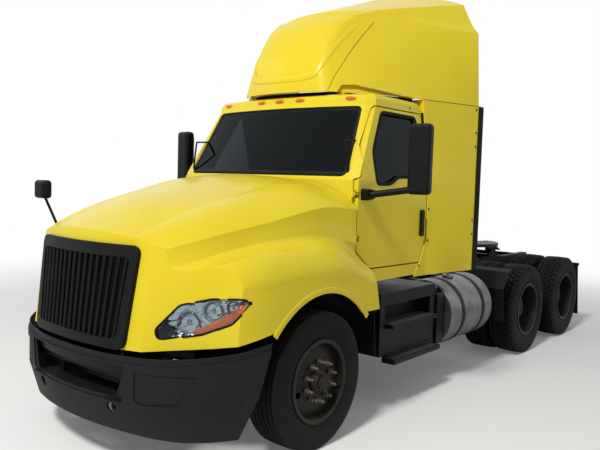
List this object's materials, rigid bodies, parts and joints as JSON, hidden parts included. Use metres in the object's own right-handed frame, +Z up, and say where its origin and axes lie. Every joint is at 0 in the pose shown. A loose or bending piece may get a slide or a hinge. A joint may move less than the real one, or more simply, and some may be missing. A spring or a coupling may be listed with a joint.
{
  "type": "tractor unit",
  "caption": "Day-cab highway tractor unit with tilting hood, opening doors, roof fairing, steered front wheels, twin drive wheels and a fifth-wheel coupling.",
  "frame": {"origin": "on the floor under the middle of the vehicle", "axes": "+Y to the rear along the vehicle, +X to its left side, +Z up"},
  "size_m": [2.99, 7.25, 3.9389],
  "materials": {
    "chassis_black": "dusty chassis black",
    "cast_black": "cast parts in chassis black",
    "edge_rubber": "flexible black edging",
    "engine_iron": "engine and gearbox castings",
    "core_metal": "radiator core",
    "bumper_plastic": "grained charcoal moulding",
    "cab_paint": "gloss yellow paint",
    "glass": "tinted laminated glass",
    "cab_trim": "grey moulded cab trim",
    "seat_fabric": "dark grey woven cloth",
    "fairing_paint": "gloss yellow paint on moulded panels",
    "lamp_amber": "amber lens",
    "tank_aluminium": "brushed and weathered",
    "black_trim": "satin black moulding",
    "lamp_red": "red lens",
    "lamp_clear": "clear lamp cover",
    "wheel_steel": "dull dark grey wheel paint with dust",
    "tyre": "worn black rubber",
    "greased_steel": "bare greased plate"
  },
  "bodies": {
    "chassis": {"frame_rails": "chassis_black", "crossmembers": "chassis_black", "front_axle_beam": "cast_black", "front_springs": "chassis_black", "drive_axles": "cast_black", "suspension_arms": "chassis_black", "air_springs": "edge_rubber", "power_unit": "engine_iron", "radiator": "core_metal", "bumper": "bumper_plastic", "bumper_carrier": "chassis_black", "tow_sockets": "cast_black", "deck_plate": "chassis_black", "cab_shell": "cab_paint", "cab_glass": "glass", "dashboard": "cab_trim", "seats": "seat_fabric", "roof_fairing": "fairing_paint", "side_extenders": "fairing_paint", "extender_edges": "edge_rubber", "marker_lamps": "lamp_amber", "fuel_tanks": "tank_aluminium", "tank_straps": "black_trim", "cab_steps": "black_trim", "fluid_tank": "black_trim", "mud_flaps": "edge_rubber", "tail_lamps": "lamp_red", "wheel_guards": "black_trim", "air_tanks": "chassis_black", "fifth_wheel_base": "cast_black"},
    "hood": {"hood": "fairing_paint", "grille": "black_trim", "headlamps": "lamp_clear", "fender_mirror": "black_trim"},
    "door_left": {"door_left": "cab_paint", "door_glass_left": "glass", "door_fittings_left": "black_trim"},
    "door_right": {"door_right": "cab_paint", "door_glass_right": "glass", "door_fittings_right": "black_trim"},
    "knuckle_left": {"steer_knuckle_left": "cast_black"},
    "knuckle_right": {"steer_knuckle_right": "cast_black"},
    "tie_rod": {"tie_rod": "chassis_black"},
    "steer_wheel_left": {"steer_rim_left": "wheel_steel", "steer_tyre_left": "tyre"},
    "steer_wheel_right": {"steer_rim_right": "wheel_steel", "steer_tyre_right": "tyre"},
    "fifth_wheel": {"fifth_wheel_plate": "greased_steel"},
    "drive_wheel_1_left": {"drive_rims_1_left": "wheel_steel", "drive_tyres_1_left": "tyre"},
    "drive_wheel_1_right": {"drive_rims_1_right": "wheel_steel", "drive_tyres_1_right": "tyre"},
    "drive_wheel_2_left": {"drive_rims_2_left": "wheel_steel", "drive_tyres_2_left": "tyre"},
    "drive_wheel_2_right": {"drive_rims_2_right": "wheel_steel", "drive_tyres_2_right": "tyre"}
  },
  "joints": [
    {"name": "hood_tilt", "type": "hinge", "parent": "chassis", "child": "hood", "pos_m": [0, -3.485, 0.868], "axis": [1, 0, 0], "range_deg": [0, 60]},
    {"name": "door_left_swing", "type": "hinge", "parent": "chassis", "child": "door_left", "pos_m": [1.012, -1.705, 1.7], "axis": [0, 0, -1], "range_deg": [0, 62]},
    {"name": "door_right_swing", "type": "hinge", "parent": "chassis", "child": "door_right", "pos_m": [-1.012, -1.705, 1.7], "axis": [0, 0, 1], "range_deg": [0, 62]},
    {"name": "steer_left", "type": "hinge", "parent": "chassis", "child": "knuckle_left", "pos_m": [0.88, -2.325, 0.507], "axis": [0, 0, 1], "range_deg": [-36, 36]},
    {"name": "steer_right", "type": "hinge", "parent": "chassis", "child": "knuckle_right", "pos_m": [-0.88, -2.325, 0.507], "axis": [0, 0, 1], "range_deg": [-36, 36]},
    {"name": "tie_rod_swivel", "type": "hinge", "parent": "knuckle_left", "child": "tie_rod", "pos_m": [0.88, -2.135, 0.399], "axis": [0, 0, 1], "range_deg": [-36, 36]},
    {"name": "steer_wheel_left_spin", "type": "hinge", "parent": "knuckle_left", "child": "steer_wheel_left", "pos_m": [1.04, -2.325, 0.507], "axis": [1, 0, 0], "continuous": true},
    {"name": "steer_wheel_right_spin", "type": "hinge", "parent": "knuckle_right", "child": "steer_wheel_right", "pos_m": [-1.04, -2.325, 0.507], "axis": [1, 0, 0], "continuous": true},
    {"name": "fifth_wheel_rock", "type": "hinge", "parent": "chassis", "child": "fifth_wheel", "pos_m": [0, 2.35, 1.098], "axis": [1, 0, 0], "range_deg": [-12, 10]},
    {"name": "drive_wheel_1_left_spin", "type": "hinge", "parent": "chassis", "child": "drive_wheel_1_left", "pos_m": [0.8935, 1.63, 0.518], "axis": [1, 0, 0], "continuous": true},
    {"name": "drive_wheel_1_right_spin", "type": "hinge", "parent": "chassis", "child": "drive_wheel_1_right", "pos_m": [-0.8935, 1.63, 0.518], "axis": [1, 0, 0], "continuous": true},
    {"name": "drive_wheel_2_left_spin", "type": "hinge", "parent": "chassis", "child": "drive_wheel_2_left", "pos_m": [0.8935, 2.95, 0.518], "axis": [1, 0, 0], "continuous": true},
    {"name": "drive_wheel_2_right_spin", "type": "hinge", "parent": "chassis", "child": "drive_wheel_2_right", "pos_m": [-0.8935, 2.95, 0.518], "axis": [1, 0, 0], "continuous": true}
  ],
  "couplings": [
    {"joint": "steer_right", "follows": "steer_left", "ratio": 1},
    {"joint": "tie_rod_swivel", "follows": "steer_left", "ratio": -1}
  ]
}
